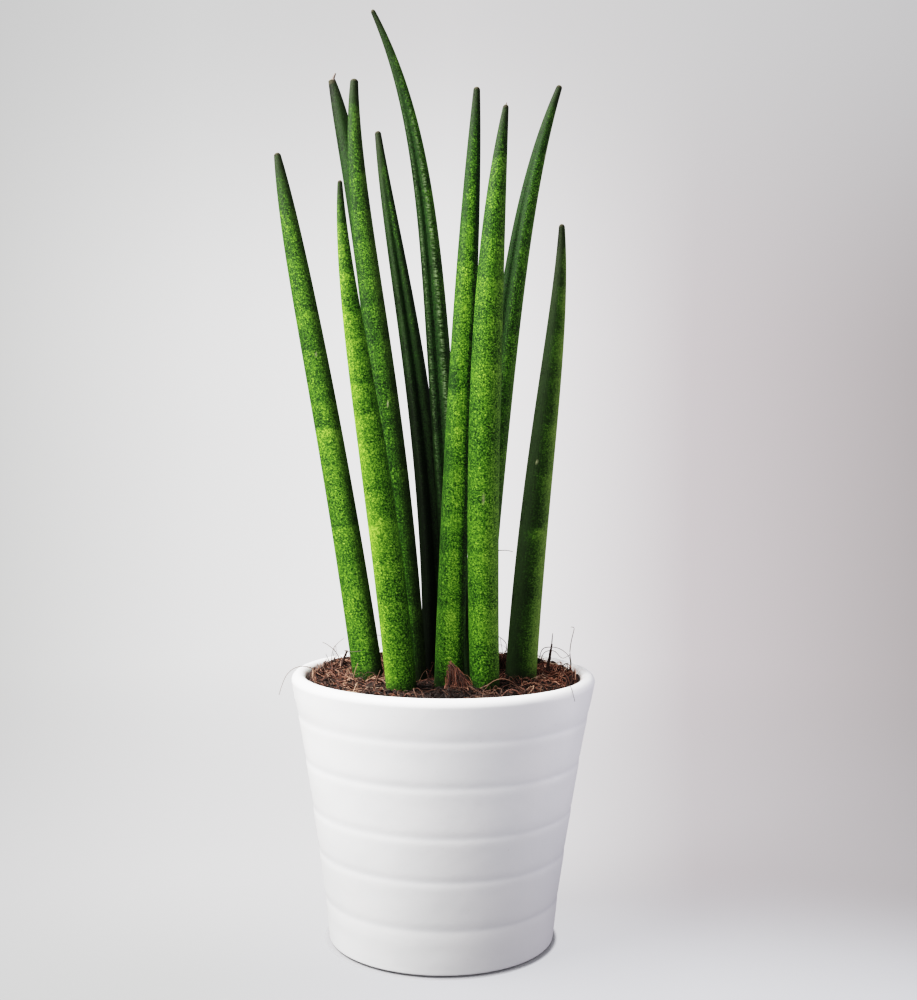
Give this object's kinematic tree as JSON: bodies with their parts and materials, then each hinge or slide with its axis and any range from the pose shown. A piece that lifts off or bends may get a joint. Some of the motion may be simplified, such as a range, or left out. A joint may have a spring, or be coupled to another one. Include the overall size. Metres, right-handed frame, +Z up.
{
  "type": "potted cylindrical snake plant",
  "caption": "Cylindrical snake plant: upright, tapering, channelled round leaves rising from coco coir in a banded, flaring white ceramic pot.",
  "frame": {"origin": "middle of the pot's flat base, where it rests", "axes": "+Z up along the pot's axis, -Y towards the side that the middle leaf's coir tuft faces, +X to its right"},
  "size_m": [0.152, 0.14, 0.4296],
  "materials": {
    "glaze": "white, smooth, satin glaze",
    "coir": "matte, tangled brown fibre",
    "rhizome": "matte, orange-brown skin",
    "leaf": "waxy leaf skin, lime green mottled and banded with dark green"
  },
  "bodies": {
    "root": {"pot": "glaze", "coir_soil": "coir", "rhizome": "rhizome", "leaf_01": "leaf", "leaf_02": "leaf", "leaf_03": "leaf", "leaf_04": "leaf", "leaf_05": "leaf", "leaf_06": "leaf", "leaf_07": "leaf", "leaf_08": "leaf", "leaf_09": "leaf", "leaf_10": "leaf"}
  },
  "joints": []
}
